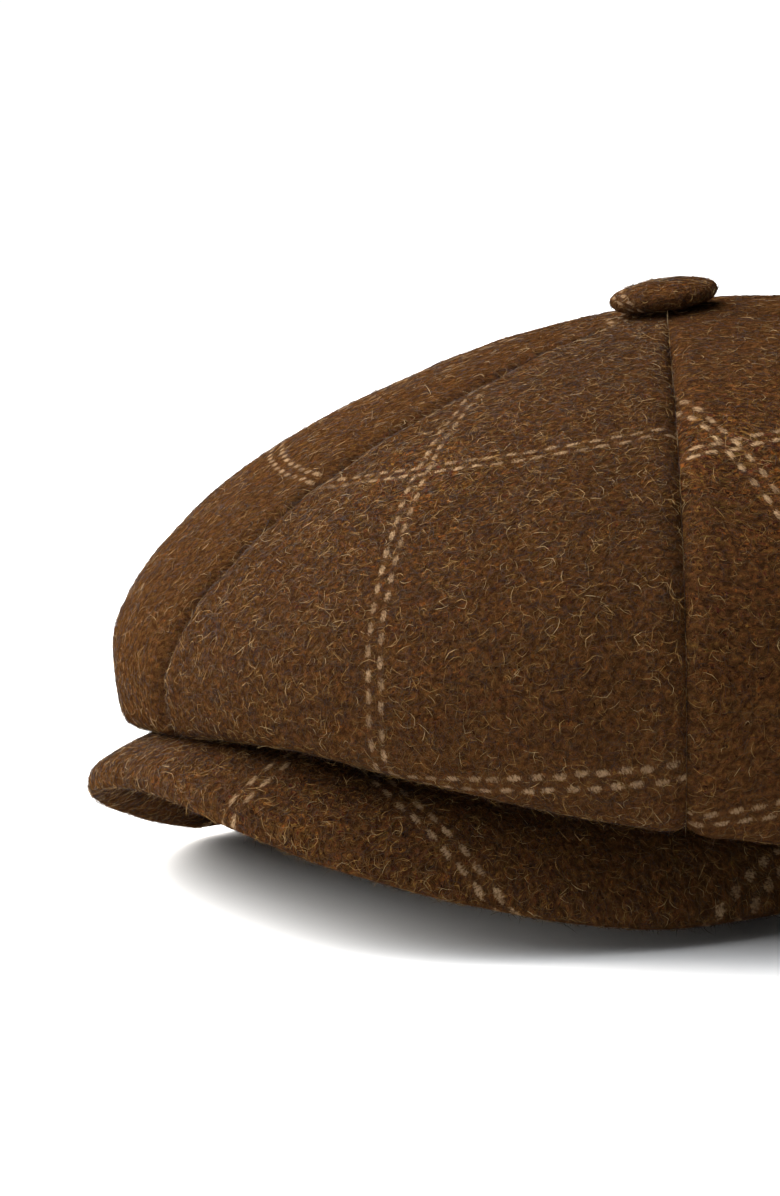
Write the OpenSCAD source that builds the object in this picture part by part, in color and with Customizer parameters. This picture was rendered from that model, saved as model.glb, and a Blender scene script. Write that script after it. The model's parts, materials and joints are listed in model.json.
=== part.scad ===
// Newsboy cap: a six-panel wool crown over a curved visor, with a covered button at the apex.
// Millimetres. +Z is up, the front of the cap faces -Y and the wearer's left is +X.
// The origin is under the middle of the cap, on the surface that the cap lies on.
// The button's axis, the button line, is the centre that the crown is laid out around. Angles round it
// start at the front seam and grow towards the wearer's left.

/* [Head opening] */
// Length of the head opening inside the sweatband, front to back
opening_length = 200; // [180:1:210]
// Width of the head opening inside the sweatband
opening_width = 162; // [140:1:172]
// How far the middle of the head opening sits behind the button line
opening_setback = 11; // [6:0.5:14]
// Height of the rim at the front, where the visor lifts it
rim_rise = 30; // [26:0.5:31]
// How far behind the middle of the opening the rim comes down flat
rim_flat_from = 49; // [30:1:70]
// Height of the headband from its rim to its top edge
band_height = 30; // [26:1:32]

/* [Cloth] */
// Thickness of the wool of the crown panels
crown_wall = 2; // [1.2:0.1:2.4]
// Thickness of the wool of the headband
headband_wall = 2; // [1.2:0.1:3]
// Thickness of the canvas that stiffens the headband
canvas_wall = 1; // [0.5:0.1:1.5]
// Thickness of the sweatband
sweatband_wall = 1; // [0.6:0.1:1.5]
// Thickness of the lining
lining_wall = 0.8; // [0.5:0.1:1.2]

/* [Crown] */
// Reach of the crown in front of the button line
crown_front = 133; // [126:1:137]
// Reach of the crown behind the button line
crown_rear = 142; // [138:1:160]
// Overall width of the crown
crown_width = 252; // [236:1:300]
// Height of the apex, where the six panels meet
apex_height = 132; // [122:1:160]
// Height of the fullest point of the crown at the front
full_height_front = 53; // [50:1:60]
// Height of the fullest point of the crown at the sides
full_height_side = 62; // [54:1:72]
// Height of the fullest point of the crown at the back
full_height_rear = 60; // [50:1:72]
// Height of the lower fold of the crown at the front, just above the visor
fold_height_front = 43.6; // [43:0.1:48]
// Height of the lower fold of the crown at the sides
fold_height_side = 22; // [18:0.5:28]
// Height of the lower fold of the crown at the back
fold_height_rear = 11; // [6:0.5:16]
// How far round towards the wearer's left the top of the lower fold has settled, as an angle
fold_lean = 6; // [0:1:8]
// How soon the lower fold comes down from the front to the sides: higher is sooner
fold_sharpness = 2.5; // [2:0.1:3]
// How far the crown turns in from its fullest point to its lower fold, at the sides and the back
fold_tuck = 13; // [11:0.5:16]
// How far it turns in at the front, where it rests on the visor
fold_tuck_front = 7; // [6:0.5:13]
// How boxy the crown is between its fullest point and its lower fold: lower is boxier
fold_boxiness = 0.75; // [0.6:0.05:1]
// How far below the headband's top edge the crown is sewn to it
sewing_depth = 8; // [4:0.5:10]
// Share of the fall of the crown that is straight from the apex, on average
apex_fall = 0.15; // [0.08:0.01:0.22]
// How much more of it there is at the front than at the sides
apex_tilt = 0.28; // [0.16:0.01:0.34]
// How soon the top turns into the side: higher is a flatter top
top_flatness = 2.5; // [1.9:0.1:3]
// How round the side is: higher is a boxier side
side_roundness = 1.8; // [1.3:0.1:2]

/* [Lining] */
// Share of the crown's reach that the lining has
lining_reach = 0.8; // [0.76:0.01:0.84]
// Drop of the lining below the apex, which leaves room for the button's washer
lining_drop = 7.5; // [7:0.5:12]
// Height of the fullest point of the lining above the headband
lining_fullness = 10; // [6:0.5:14]

/* [Visor] */
// Reach of the visor in front of the button line
visor_reach = 140; // [138:1:150]
// Overall width of the visor
visor_width = 188; // [182:1:198]
// How square the visor's outline is: 2 is an ellipse
visor_squareness = 2.6; // [2:0.1:3.2]
// Height of the arch under the front edge of the visor
visor_arch = 29; // [20:0.5:30]
// How sharply the visor's arch turns down at its sides
visor_arch_shape = 2; // [2:0.1:3]
// How far the top of the arch has settled towards the wearer's left
visor_lean = 7; // [0:0.5:8]
// How far the visor bulges up between its root and its edge
visor_camber = 8; // [0:0.5:8]
// Thickness of the visor's stiffener board
board_wall = 1.8; // [1.2:0.1:2.4]
// Thickness of the wool over and under the board
visor_cover_wall = 1.6; // [1.2:0.1:2]
// Width of the cloth that turns over the board's edge
visor_turning = 3; // [2:0.1:4]

/* [Cap button] */
// Diameter of the covered button
button_diameter = 25.4; // [18:0.1:32]
// Height of the covered button
button_height = 6.5; // [5.5:0.1:9]
// Height of the fullest point of the button above its underside
button_belly = 2.6; // [2.2:0.1:3.2]
// Thickness of the button's wool cover
button_cover_wall = 1.1; // [0.8:0.1:1.3]
// Thickness of the button's metal shell
button_shell_wall = 0.6; // [0.4:0.1:0.8]
// Thickness of the button's back plate
button_back_wall = 0.8; // [0.6:0.1:1]
// Diameter of the rivet that holds the button
rivet_diameter = 4.4; // [3:0.1:5]
// Wall of the eyelet that the rivet turns in
eyelet_wall = 1.3; // [0.8:0.1:1.4]
// Diameter of the eyelet's flange, under the crown
eyelet_flange = 16; // [13:0.5:18]
// Diameter of the washer under the eyelet
washer_diameter = 14; // [10:0.5:16]
// Thickness of the washer and of the eyelet's flange
washer_wall = 0.8; // [0.5:0.1:1]

/* [Fits] */
// Clearance between the rivet and the eyelet, all round
turning_clearance = 0.05; // [0.02:0.01:0.1]
// Gap between the turning button and the crown
button_gap = 0.3; // [0.2:0.05:0.6]
// Gap where one layer of cloth lies on another that it isn't sewn to
cloth_gap = 0.3; // [0.2:0.05:0.5]

/* [Hidden] */
$fn = 64;

// Panels, going round from the front seam
panel_places = ["front_left", "side_left", "rear_left", "rear_right", "side_right", "front_right"];
panel_angle = 360 / len(panel_places);
crown_columns = 10;
crown_rows = [12, 6, 5];
lining_columns = 6;
lining_rows = [9, 5];

// Layers of the headband, from the head outwards, as half width and half length
opening_half = [opening_width / 2, opening_length / 2];
canvas_half = opening_half + sweatband_wall * [1, 1];
headband_half = canvas_half + canvas_wall * [1, 1];
band_outer_half = headband_half + headband_wall * [1, 1];
band_step = 5;
inner_band_lift = 0.6;
canvas_drop = 2;

// Step along an outline over which its direction is taken
place_step = 0.01;

// Front and back of the cap, and the shift that puts the origin under its middle
middle_shift = (visor_reach - crown_rear) / 2;
band_front_y = opening_setback - band_outer_half[1];
band_rear_y = opening_setback + band_outer_half[1];
rim_flat_y = opening_setback + rim_flat_from;
rim_slope = rim_rise / (rim_flat_y - band_front_y);
side_margin = 10;

// Visor
visor_thickness = board_wall + 2 * visor_cover_wall;
visor_end = 85;
visor_end_round = 18;
visor_end_left = 1;
visor_floor_gap = 0.3;
visor_edge_wall = 0.4;
visor_board_rows = 5;
visor_edge_rows = 4;
visor_round_share = 1.6;
visor_camber_limit = 1 / 6;
visor_turning_limit = 0.4;
visor_square_by = 1 / 3;

// Cap button: heights along its own axis, from the apex of the crown
front_slope = (apex_height - full_height_front) * (apex_fall + apex_tilt) / crown_front;
rear_slope = (apex_height - full_height_rear) * (apex_fall - apex_tilt) / crown_rear;
side_slope = (apex_height - full_height_side) * apex_fall / (crown_width / 2);
button_tilt = atan((front_slope - rear_slope) / 2);
shoulder_margin = 1.2;
shoulder_fall = max((front_slope + rear_slope) / 2, side_slope) * shoulder_margin;
button_radius = button_diameter / 2;
button_turning = 3;
back_lift = 0.2;
back_bottom = button_gap + back_lift;
back_top = back_bottom + button_back_wall;
rivet_radius = rivet_diameter / 2;
rivet_head_lip = 2;
rivet_head_radius = rivet_radius + rivet_head_lip;
rivet_head_wall = 0.7;
rivet_clinch_lip = 1.3;
rivet_clinch_radius = rivet_radius + rivet_clinch_lip;
rivet_clinch_wall = 0.7;
eyelet_bore = rivet_radius + turning_clearance;
eyelet_radius = eyelet_bore + eyelet_wall;
eyelet_room = 0.9;
eyelet_hole = eyelet_radius + eyelet_room;
eyelet_rise = 0.1;
stack_gap = 0.15;
flange_top = -(crown_wall + shoulder_fall * eyelet_flange / 2 + stack_gap);
flange_bottom = flange_top - washer_wall;
washer_top = flange_bottom - stack_gap;
washer_bottom = washer_top - washer_wall;
clinch_bottom = washer_bottom - rivet_clinch_wall;

// How far a cut runs past the solid that it is cut from
cut_past = 1;

// --- Lines and surfaces ---

// A value that goes from side to front, or from side to rear, as the angle goes round.
function round_value(side, front, rear, angle) =
    side + ((cos(angle) >= 0 ? front : rear) - side) * pow(cos(angle), 2);

function mix(a, b, share) = a + (b - a) * share;
function unit(v) = v / norm(v);

// Distance from the button line to an ellipse round the head opening, at an angle.
function band_reach(half, angle) =
    let (
        square = pow(sin(angle) / half[0], 2) + pow(cos(angle) / half[1], 2),
        middle = opening_setback * cos(angle) / pow(half[1], 2),
        rest = pow(opening_setback / half[1], 2) - 1
    )
    (-middle + sqrt(middle * middle - square * rest)) / square;

// Height of the rim, flat at the back and rising to the front.
function rim_height(y) = max(0, rim_slope * (rim_flat_y - y));

function crown_reach(angle) = round_value(crown_width / 2, crown_front, crown_rear, angle);

// Height of the lower fold of the crown at an angle.
function fold_height(angle) =
    let (ahead = cos(angle - fold_lean))
    fold_height_side
        + ((ahead >= 0 ? fold_height_front : fold_height_rear) - fold_height_side)
        * pow(abs(ahead), fold_sharpness);

// Heights along a line that falls from the apex to its fullest point.
function dome_height(top, bottom, angle, share) =
    let (straight = apex_fall + apex_tilt * cos(angle))
    top - (top - bottom) * (straight * share
        + (1 - straight) * (1 - pow(max(0, 1 - pow(share, top_flatness)), 1 / side_roundness)));

// A quarter of an ellipse between two points: upright at the first and level at the second. With a
// power below 1 it is boxier than an ellipse.
function quarter(from, to, turn, power = 1) =
    [
        mix(to[0], from[0], pow(max(0, cos(turn)), power)),
        mix(from[1], to[1], pow(max(0, sin(turn)), power))
    ];

// Outline of the crown at an angle, as [reach, height]: 0 to 1 is the top, 1 to 2 the side down to
// the lower fold, and 2 to 3 the return from the fold up to the headband.
function crown_line(angle, place) =
    let (
        reach = crown_reach(angle),
        full = round_value(full_height_side, full_height_front, full_height_rear, angle),
        tuck = round_value(fold_tuck, fold_tuck_front, fold_tuck, angle),
        fold = [reach - tuck, fold_height(angle)],
        inner = band_reach(band_outer_half, angle) + cloth_gap,
        sewn = [inner, rim_height(-inner * cos(angle)) + band_height - sewing_depth],
        first = eyelet_hole / reach,
        share = first + (1 - first) * sin(90 * min(place, 1))
    )
    place <= 1 ? [reach * share, dome_height(apex_height, full, angle, share)]
    : place <= 2 ? quarter([reach, full], fold, 90 * (place - 1), fold_boxiness)
    : quarter(sewn, fold, 90 * (3 - place));

// Outline of the lining at an angle: 0 to 1 is the top, and 1 to 2 turns in to the sweatband.
function lining_line(angle, place) =
    let (
        reach = crown_reach(angle) * lining_reach,
        inner = band_reach(canvas_half, angle) - cloth_gap,
        sewn_height = rim_height(-inner * cos(angle)) + band_height + cloth_gap + lining_wall,
        full = sewn_height + lining_fullness,
        share = sin(90 * min(place, 1))
    )
    place <= 1 ? [reach * share, dome_height(apex_height - lining_drop, full, angle, share)]
    : quarter([reach, full], [inner, sewn_height], 90 * (place - 1));

// A point of an outline, moved inwards by depth across the outline, and turned to its angle.
function shell_point(line, angle, depth) =
    let (
        way = unit(line[2] - line[0]),
        flat = line[1] + depth * [way[1], -way[0]]
    )
    [flat[0] * sin(angle), middle_shift - flat[0] * cos(angle), flat[1]];

function crown_point(angle, place, depth) =
    shell_point(
        [
            for (step = [-1, 0, 1])
                crown_line(angle, min(3, max(0, place + step * place_step)))
        ],
        angle, depth);

function lining_point(angle, place, depth) =
    shell_point(
        [
            for (step = [-1, 0, 1])
                lining_line(angle, min(2, max(0, place + step * place_step)))
        ],
        angle, place == 0 ? 0 : depth) - (place == 0 ? [0, 0, depth] : [0, 0, 0]);

// Places along an outline, with a number of equal steps in each of its stretches.
function places(rows) =
    concat([0], [for (part = [0 : len(rows) - 1]) for (i = [1 : rows[part]]) part + i / rows[part]]);

// Outline of the visor and of its root, at an angle of the ellipse round the head opening.
function visor_root(turn) =
    let (
        x = band_outer_half[0] * sin(turn),
        y = opening_setback - band_outer_half[1] * cos(turn)
    )
    [x, y + middle_shift, rim_height(y) + visor_thickness / 2];

function visor_rim(turn) =
    let (
        power = 2 / visor_squareness,
        x = visor_width / 2 * sign(turn) * pow(abs(sin(turn)), power),
        y = opening_setback - (visor_reach + opening_setback) * pow(cos(turn), power),
        arch = max(0, 1 - pow(abs(x - visor_lean) / (visor_width / 2 - visor_lean), visor_arch_shape)),
        over = max(0, abs(turn) - visor_end + visor_end_round) / (visor_end_round + visor_end_left),
        edge = [x, y + middle_shift, visor_floor_gap + visor_thickness / 2 + visor_arch * arch]
    )
    mix(visor_root(turn), edge, sqrt(1 - over * over));

function visor_middle(turn, share) =
    let (
        root = visor_root(turn),
        rim = visor_rim(turn),
        camber = min(visor_camber, norm(rim - root) * visor_camber_limit)
    )
    mix(root, rim, share) + [0, 0, camber * sin(180 * share)];

// Direction across the visor: upright at the root, where it is sewn, and square to it further out.
function visor_across(turn, share) =
    let (
        along = visor_middle(turn + 1, share) - visor_middle(turn - 1, share),
        out = visor_middle(turn, 1) - visor_middle(turn, 0),
        square = unit(cross(out, along))
    )
    unit(mix([0, 0, 1], square, min(1, share / visor_square_by)));

// Share of the visor's width that the board takes at an angle.
function board_share(turn) =
    let (width = norm(visor_rim(turn) - visor_root(turn)))
    1 - min(visor_turning / width, visor_turning_limit);

// Shares of the width for the rows of a visor piece: over the board, and then over its edge.
function visor_row_share(turn, row) =
    let (board = board_share(turn))
    row < visor_board_rows ? board * row / (visor_board_rows - 1)
    : mix(board, 1, sin(90 * (row - visor_board_rows + 1) / visor_edge_rows));

// Height of the visor's face above its middle, rounded off over its edge.
function visor_face(row) =
    let (past = max(0, row - visor_board_rows + 1) / visor_edge_rows)
    mix(visor_edge_wall, visor_thickness / 2, pow(cos(90 * past), visor_round_share / 2));

// Height of the inner face of a visor cover, which rests on the board and then on the other cover.
function visor_inner(row) = row < visor_board_rows ? board_wall / 2 : 0;

function visor_point(turn, row, height) =
    let (share = visor_row_share(turn, row))
    visor_middle(turn, share) + height * visor_across(turn, share);

visor_turns = [-visor_end : band_step : visor_end];
visor_rows = [0 : visor_board_rows + visor_edge_rows - 1];
board_rows = [0 : visor_board_rows - 1];

// Closed shell between two grids of points of the same size. Rows run outwards and columns run
// towards the wearer's left. With tip, the first row is a single point.
module shell(outer, inner, tip = false) {
    rows = len(outer);
    columns = len(outer[0]);
    lead = tip ? 1 : columns;
    size = lead + (rows - 1) * columns;
    function spread(grid) = concat(
        [for (j = [0 : lead - 1]) grid[0][j]],
        [for (i = [1 : rows - 1]) for (point = grid[i]) point]);
    function at(side, i, j) = side * size + (i == 0 ? min(j, lead - 1) : lead + (i - 1) * columns + j);
    last_row = rows - 1;
    last_column = columns - 1;
    body_faces = [
        for (i = [0 : last_row - 1]) for (j = [0 : last_column - 1]) each [
            [at(0, i, j), at(0, i + 1, j + 1), at(0, i + 1, j)],
            [at(1, i, j), at(1, i + 1, j), at(1, i + 1, j + 1)]
        ]
    ];
    filling_faces = [
        for (i = [tip ? 1 : 0 : last_row - 1]) for (j = [0 : last_column - 1]) each [
            [at(0, i, j), at(0, i, j + 1), at(0, i + 1, j + 1)],
            [at(1, i, j), at(1, i + 1, j + 1), at(1, i, j + 1)]
        ]
    ];
    seam_faces = [
        for (i = [0 : last_row - 1]) each [
            [at(0, i, 0), at(0, i + 1, 0), at(1, i + 1, 0)],
            [at(0, i, 0), at(1, i + 1, 0), at(1, i, 0)],
            [at(0, i + 1, last_column), at(0, i, last_column), at(1, i, last_column)],
            [at(0, i + 1, last_column), at(1, i, last_column), at(1, i + 1, last_column)]
        ]
    ];
    first_faces = [
        if (!tip) for (j = [0 : last_column - 1]) each [
            [at(0, 0, j + 1), at(0, 0, j), at(1, 0, j)],
            [at(0, 0, j + 1), at(1, 0, j), at(1, 0, j + 1)]
        ]
    ];
    last_faces = [
        for (j = [0 : last_column - 1]) each [
            [at(0, last_row, j), at(0, last_row, j + 1), at(1, last_row, j + 1)],
            [at(0, last_row, j), at(1, last_row, j + 1), at(1, last_row, j)]
        ]
    ];
    polyhedron(
        points = concat(spread(outer), spread(inner)),
        faces = concat(body_faces, filling_faces, seam_faces, first_faces, last_faces),
        convexity = 6);
}

// --- Crown and lining ---

module crown_panel(number) {
    angles = [for (j = [0 : crown_columns]) panel_angle * (number + j / crown_columns)];
    outer = [for (place = places(crown_rows)) [for (angle = angles) crown_point(angle, place, 0)]];
    inner = [for (place = places(crown_rows)) [for (angle = angles) crown_point(angle, place, crown_wall)]];
    color("saddlebrown") shell(outer, inner);
}

module lining_panel(number) {
    angles = [for (j = [0 : lining_columns]) panel_angle * (number + j / lining_columns)];
    outer = [for (place = places(lining_rows)) [for (angle = angles) lining_point(angle, place, 0)]];
    inner = [for (place = places(lining_rows)) [for (angle = angles) lining_point(angle, place, lining_wall)]];
    color("tan") shell(outer, inner, tip = true);
}

// --- Headband ---

module opening_ellipse(half) {
    polygon([
        for (turn = [0 : band_step : 360 - band_step])
            [half[0] * sin(turn), opening_setback + middle_shift - half[1] * cos(turn)]
    ]);
}

// One layer of the headband, between two ellipses, with its rim lifted by low.
module band_layer(inner_half, outer_half, low, high) {
    front = band_front_y - side_margin;
    rear = band_rear_y + side_margin;
    intersection() {
        linear_extrude(rim_height(front) + high + side_margin)
            difference() {
                opening_ellipse(outer_half);
                opening_ellipse(inner_half);
            }
        translate([0, middle_shift, 0])
            rotate([90, 0, 90])
                linear_extrude(opening_width * 2, center = true)
                    polygon([
                        [front, rim_height(front) + low],
                        [rim_flat_y, low],
                        [rear, low],
                        [rear, high],
                        [rim_flat_y, high],
                        [front, rim_height(front) + high]
                    ]);
    }
}

module headband() {
    color("sienna") band_layer(headband_half, band_outer_half, 0, band_height);
}

module band_canvas() {
    color("ivory") band_layer(canvas_half, headband_half, inner_band_lift, band_height - canvas_drop);
}

module sweatband() {
    color("dimgray") band_layer(opening_half, canvas_half, inner_band_lift, band_height);
}

// --- Visor ---

module visor_top_cover() {
    color("saddlebrown") shell(
        [for (row = visor_rows) [for (turn = visor_turns) visor_point(turn, row, visor_face(row))]],
        [for (row = visor_rows) [for (turn = visor_turns) visor_point(turn, row, visor_inner(row))]]);
}

module visor_board() {
    color("whitesmoke") shell(
        [for (row = board_rows) [for (turn = visor_turns) visor_point(turn, row, board_wall / 2)]],
        [for (row = board_rows) [for (turn = visor_turns) visor_point(turn, row, -board_wall / 2)]]);
}

module visor_under_cover() {
    color("saddlebrown") shell(
        [for (row = visor_rows) [for (turn = visor_turns) visor_point(turn, row, -visor_inner(row))]],
        [for (row = visor_rows) [for (turn = visor_turns) visor_point(turn, row, -visor_face(row))]]);
}

// --- Button and eyelet ---

// Puts a piece on the button's axis, with its zero at the apex of the crown.
module on_button_axis() {
    translate([0, middle_shift, apex_height])
        rotate([button_tilt, 0, 0])
            children();
}

// Half outline of the button, from its crown round to its underside, sunk in by depth.
function button_line(depth) = concat(
    [
        for (turn = [0 : 6 : 90])
            [
                (button_radius - depth) * sin(turn),
                button_gap + button_belly + (button_height - button_belly - depth) * cos(turn)
            ]
    ],
    [
        for (turn = [15 : 15 : 90])
            [
                button_radius - button_turning + (button_turning - depth) * cos(turn),
                button_gap + button_belly - (button_belly - depth) * sin(turn)
            ]
    ]);

function reversed(list) = [for (i = [len(list) - 1 : -1 : 0]) list[i]];

module button_layer(outer_depth, inner_depth) {
    on_button_axis()
        rotate_extrude()
            polygon(concat(button_line(outer_depth), reversed(button_line(inner_depth))));
}

module button_cover() {
    color("saddlebrown") button_layer(0, button_cover_wall);
}

module button_shell() {
    color("silver") button_layer(button_cover_wall, button_cover_wall + button_shell_wall);
}

module button_back() {
    color("silver")
        on_button_axis()
            translate([0, 0, back_bottom])
                difference() {
                    cylinder(h = button_back_wall, r = button_radius - button_turning);
                    translate([0, 0, -cut_past])
                        cylinder(h = button_back_wall + 2 * cut_past, r = rivet_radius);
                }
}

module button_rivet() {
    color("gainsboro")
        on_button_axis()
            rotate_extrude()
                polygon([
                    [0, clinch_bottom],
                    [rivet_clinch_radius, clinch_bottom],
                    [rivet_clinch_radius, washer_bottom],
                    [rivet_radius, washer_bottom],
                    [rivet_radius, back_top],
                    [rivet_head_radius, back_top],
                    [rivet_head_radius, back_top + rivet_head_wall],
                    [0, back_top + rivet_head_wall]
                ]);
}

module button_washer() {
    color("silver")
        on_button_axis()
            translate([0, 0, washer_bottom])
                difference() {
                    cylinder(h = washer_wall, d = washer_diameter);
                    translate([0, 0, -cut_past])
                        cylinder(h = washer_wall + 2 * cut_past, r = rivet_radius);
                }
}

module crown_eyelet() {
    color("goldenrod")
        on_button_axis()
            difference() {
                union() {
                    translate([0, 0, flange_bottom])
                        cylinder(h = washer_wall, d = eyelet_flange);
                    translate([0, 0, flange_bottom])
                        cylinder(h = eyelet_rise - flange_bottom, r = eyelet_radius);
                }
                translate([0, 0, flange_bottom - cut_past])
                    cylinder(h = eyelet_rise - flange_bottom + 2 * cut_past, r = eyelet_bore);
            }
}

// --- Nodes ---

for (number = [0 : len(panel_places) - 1]) {
    crown_panel(number);
    lining_panel(number);
}
headband();
band_canvas();
sweatband();
visor_top_cover();
visor_board();
visor_under_cover();
crown_eyelet();
button_cover();
button_shell();
button_back();
button_rivet();
button_washer();
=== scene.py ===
# %% [markdown]
# # A newsboy cap in milled wool
# The cap is six wool panels sewn to a headband, a stiff visor covered in the same wool, a lining and a
# sweatband inside, and a covered button that turns on a rivet at the top. The solid model of the cap is
# the frame: it fixes every size and every place. This lesson puts real cloth on that frame. Each soft
# solid is replaced by a thin sheet of cloth, and each metal part keeps its shape and gets its finish.

# %% Load the frame
import bpy
import json
import math
import numpy as np
from mathutils import Matrix, Quaternion, Vector


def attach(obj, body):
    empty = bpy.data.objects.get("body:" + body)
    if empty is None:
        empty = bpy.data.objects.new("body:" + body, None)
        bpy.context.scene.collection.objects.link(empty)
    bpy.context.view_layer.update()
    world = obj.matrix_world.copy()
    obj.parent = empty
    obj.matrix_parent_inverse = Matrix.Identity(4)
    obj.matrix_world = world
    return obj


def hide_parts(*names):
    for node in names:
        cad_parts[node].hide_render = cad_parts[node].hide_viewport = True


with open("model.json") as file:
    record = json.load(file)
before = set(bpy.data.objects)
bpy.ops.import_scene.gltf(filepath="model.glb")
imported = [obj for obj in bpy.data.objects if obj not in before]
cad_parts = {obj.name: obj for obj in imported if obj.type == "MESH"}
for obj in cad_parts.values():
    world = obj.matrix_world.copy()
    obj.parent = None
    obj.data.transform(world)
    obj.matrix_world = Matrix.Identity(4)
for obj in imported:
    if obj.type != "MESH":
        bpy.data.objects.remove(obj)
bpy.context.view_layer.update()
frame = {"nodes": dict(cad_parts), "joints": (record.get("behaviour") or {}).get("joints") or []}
bpy.ops.object.select_all(action="DESELECT")

# %% [markdown]
# ## Camera
# The cap is seen from its front left corner, from a little above, with the visor towards the lower left.
# The camera could be placed by eye, but a measured stand point, a long lens and a small roll repeat the
# view exactly, so it is set from numbers: where it stands, what it looks at and how far it rolls.

# %% Camera
CAMERA_SPOT = Vector((0.7951, -0.4945, 0.1935))
CAMERA_AIM = Vector((-0.0235, -0.0632, 0.0645))
CAMERA_ROLL = math.radians(-0.8)
CAMERA_LENS = 119.0

bpy.ops.object.camera_add(location=CAMERA_SPOT)
camera = bpy.context.object
camera.name = "camera"
looking = (CAMERA_AIM - CAMERA_SPOT).to_track_quat("-Z", "Y")
camera.rotation_euler = (looking @ Quaternion((0, 0, 1), CAMERA_ROLL)).to_euler()
camera.data.sensor_fit = "VERTICAL"
camera.data.sensor_height = 36
camera.data.lens = CAMERA_LENS
bpy.context.scene.camera = camera
print("camera is", round((CAMERA_AIM - CAMERA_SPOT).length, 3), "m from what it looks at")

# %% [markdown]
# ## The shape of the cap
# The panels must lie exactly where the frame's solids are, but finer than they are. The solids' faces
# could be subdivided, which rounds their corners and shrinks them. The outline that the solids were
# drawn from gives the same surface at any fineness, so its sizes are repeated here, in millimetres.
# Angles round the cap start at the front seam and grow towards the wearer's left.

# %% Sizes of the cap, in millimetres
MM = 0.001
OPENING_HALF = (81.0, 100.0)
OPENING_SETBACK = 11.0
RIM_RISE = 30.0
RIM_FLAT_Y = 60.0
BAND_HEIGHT = 30.0
SWEATBAND_WALL, CANVAS_WALL, HEADBAND_WALL = 1.0, 1.0, 2.0
CROWN_WALL, LINING_WALL = 2.0, 0.8
CROWN_FRONT, CROWN_REAR, CROWN_SIDE = 133.0, 142.0, 126.0
APEX_HEIGHT = 132.0
FULL_HEIGHT = (62.0, 53.0, 60.0)
FOLD_SIDE, FOLD_FRONT, FOLD_REAR = 22.0, 43.6, 11.0
FOLD_LEAN, FOLD_SHARPNESS, FOLD_BOXINESS = math.radians(6), 2.5, 0.75
FOLD_TUCK = (13.0, 7.0, 13.0)
SEWING_DEPTH = 8.0
APEX_FALL, APEX_TILT = 0.15, 0.28
TOP_FLATNESS, SIDE_ROUNDNESS = 2.5, 1.8
EYELET_HOLE = 4.45
CLOTH_GAP = 0.3
VISOR_REACH, VISOR_HALF_WIDTH = 140.0, 94.0
MIDDLE_SHIFT = (VISOR_REACH - CROWN_REAR) / 2
PANEL_ANGLE = math.radians(60)
PANELS = ["front_left", "side_left", "rear_left", "rear_right", "side_right", "front_right"]


def around(side, front, rear, angle):
    """A size that goes from its side value to its front or rear value as the angle goes round."""
    end = np.where(np.cos(angle) >= 0, front, rear)
    return side + (end - side) * np.cos(angle) ** 2


def widened(half, by):
    return half[0] + by, half[1] + by


def band_reach(half, angle):
    """Distance from the button line to an ellipse round the head opening."""
    square = (np.sin(angle) / half[0]) ** 2 + (np.cos(angle) / half[1]) ** 2
    middle = OPENING_SETBACK * np.cos(angle) / half[1] ** 2
    rest = (OPENING_SETBACK / half[1]) ** 2 - 1
    return (-middle + np.sqrt(middle**2 - square * rest)) / square


BAND_OUTER = widened(OPENING_HALF, SWEATBAND_WALL + CANVAS_WALL + HEADBAND_WALL)
RIM_SLOPE = RIM_RISE / (RIM_FLAT_Y - OPENING_SETBACK + BAND_OUTER[1])


def rim_height(y):
    """Height of the rim, flat at the back and rising to the front."""
    return np.maximum(0, RIM_SLOPE * (RIM_FLAT_Y - y))


print("rim rises", RIM_RISE, "mm at the front, slope", round(RIM_SLOPE, 3))


# %% Outline of the crown and of the lining
def crown_reach(angle):
    return around(CROWN_SIDE, CROWN_FRONT, CROWN_REAR, angle)


def fold_height(angle):
    ahead = np.cos(angle - FOLD_LEAN)
    end = np.where(ahead >= 0, FOLD_FRONT, FOLD_REAR)
    return FOLD_SIDE + (end - FOLD_SIDE) * np.abs(ahead) ** FOLD_SHARPNESS


def dome_height(top, bottom, angle, share):
    straight = APEX_FALL + APEX_TILT * np.cos(angle)
    curve = 1 - np.maximum(0, 1 - share**TOP_FLATNESS) ** (1 / SIDE_ROUNDNESS)
    return top - (top - bottom) * (straight * share + (1 - straight) * curve)


def quarter(start, end, turn, power=1.0):
    """A quarter of an ellipse, upright at its start and level at its end."""
    fall, run = np.maximum(0, np.cos(turn)) ** power, np.maximum(0, np.sin(turn)) ** power
    return end[0] + (start[0] - end[0]) * fall, start[1] + (end[1] - start[1]) * run


def crown_line(angle, place):
    """Reach and height of the crown: place 0 to 1 is the top, to 2 the side, to 3 the return."""
    reach, full = crown_reach(angle), around(*FULL_HEIGHT, angle)
    fold = reach - around(*FOLD_TUCK, angle), fold_height(angle)
    inner = band_reach(BAND_OUTER, angle) + CLOTH_GAP
    sewn = inner, rim_height(-inner * np.cos(angle)) + BAND_HEIGHT - SEWING_DEPTH
    first = EYELET_HOLE / reach
    share = first + (1 - first) * np.sin(np.pi / 2 * np.clip(place, 0, 1))
    top = reach * share, dome_height(APEX_HEIGHT, full, angle, share)
    side = quarter((reach, full), fold, np.pi / 2 * np.clip(place - 1, 0, 1), FOLD_BOXINESS)
    back = quarter(sewn, fold, np.pi / 2 * np.clip(3 - place, 0, 1))
    return tuple(np.where(place <= 1, a, np.where(place <= 2, b, c)) for a, b, c in zip(top, side, back))


LINING_REACH, LINING_DROP, LINING_FULLNESS = 0.8, 7.5, 10.0
CANVAS_HALF = widened(OPENING_HALF, SWEATBAND_WALL)


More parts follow.
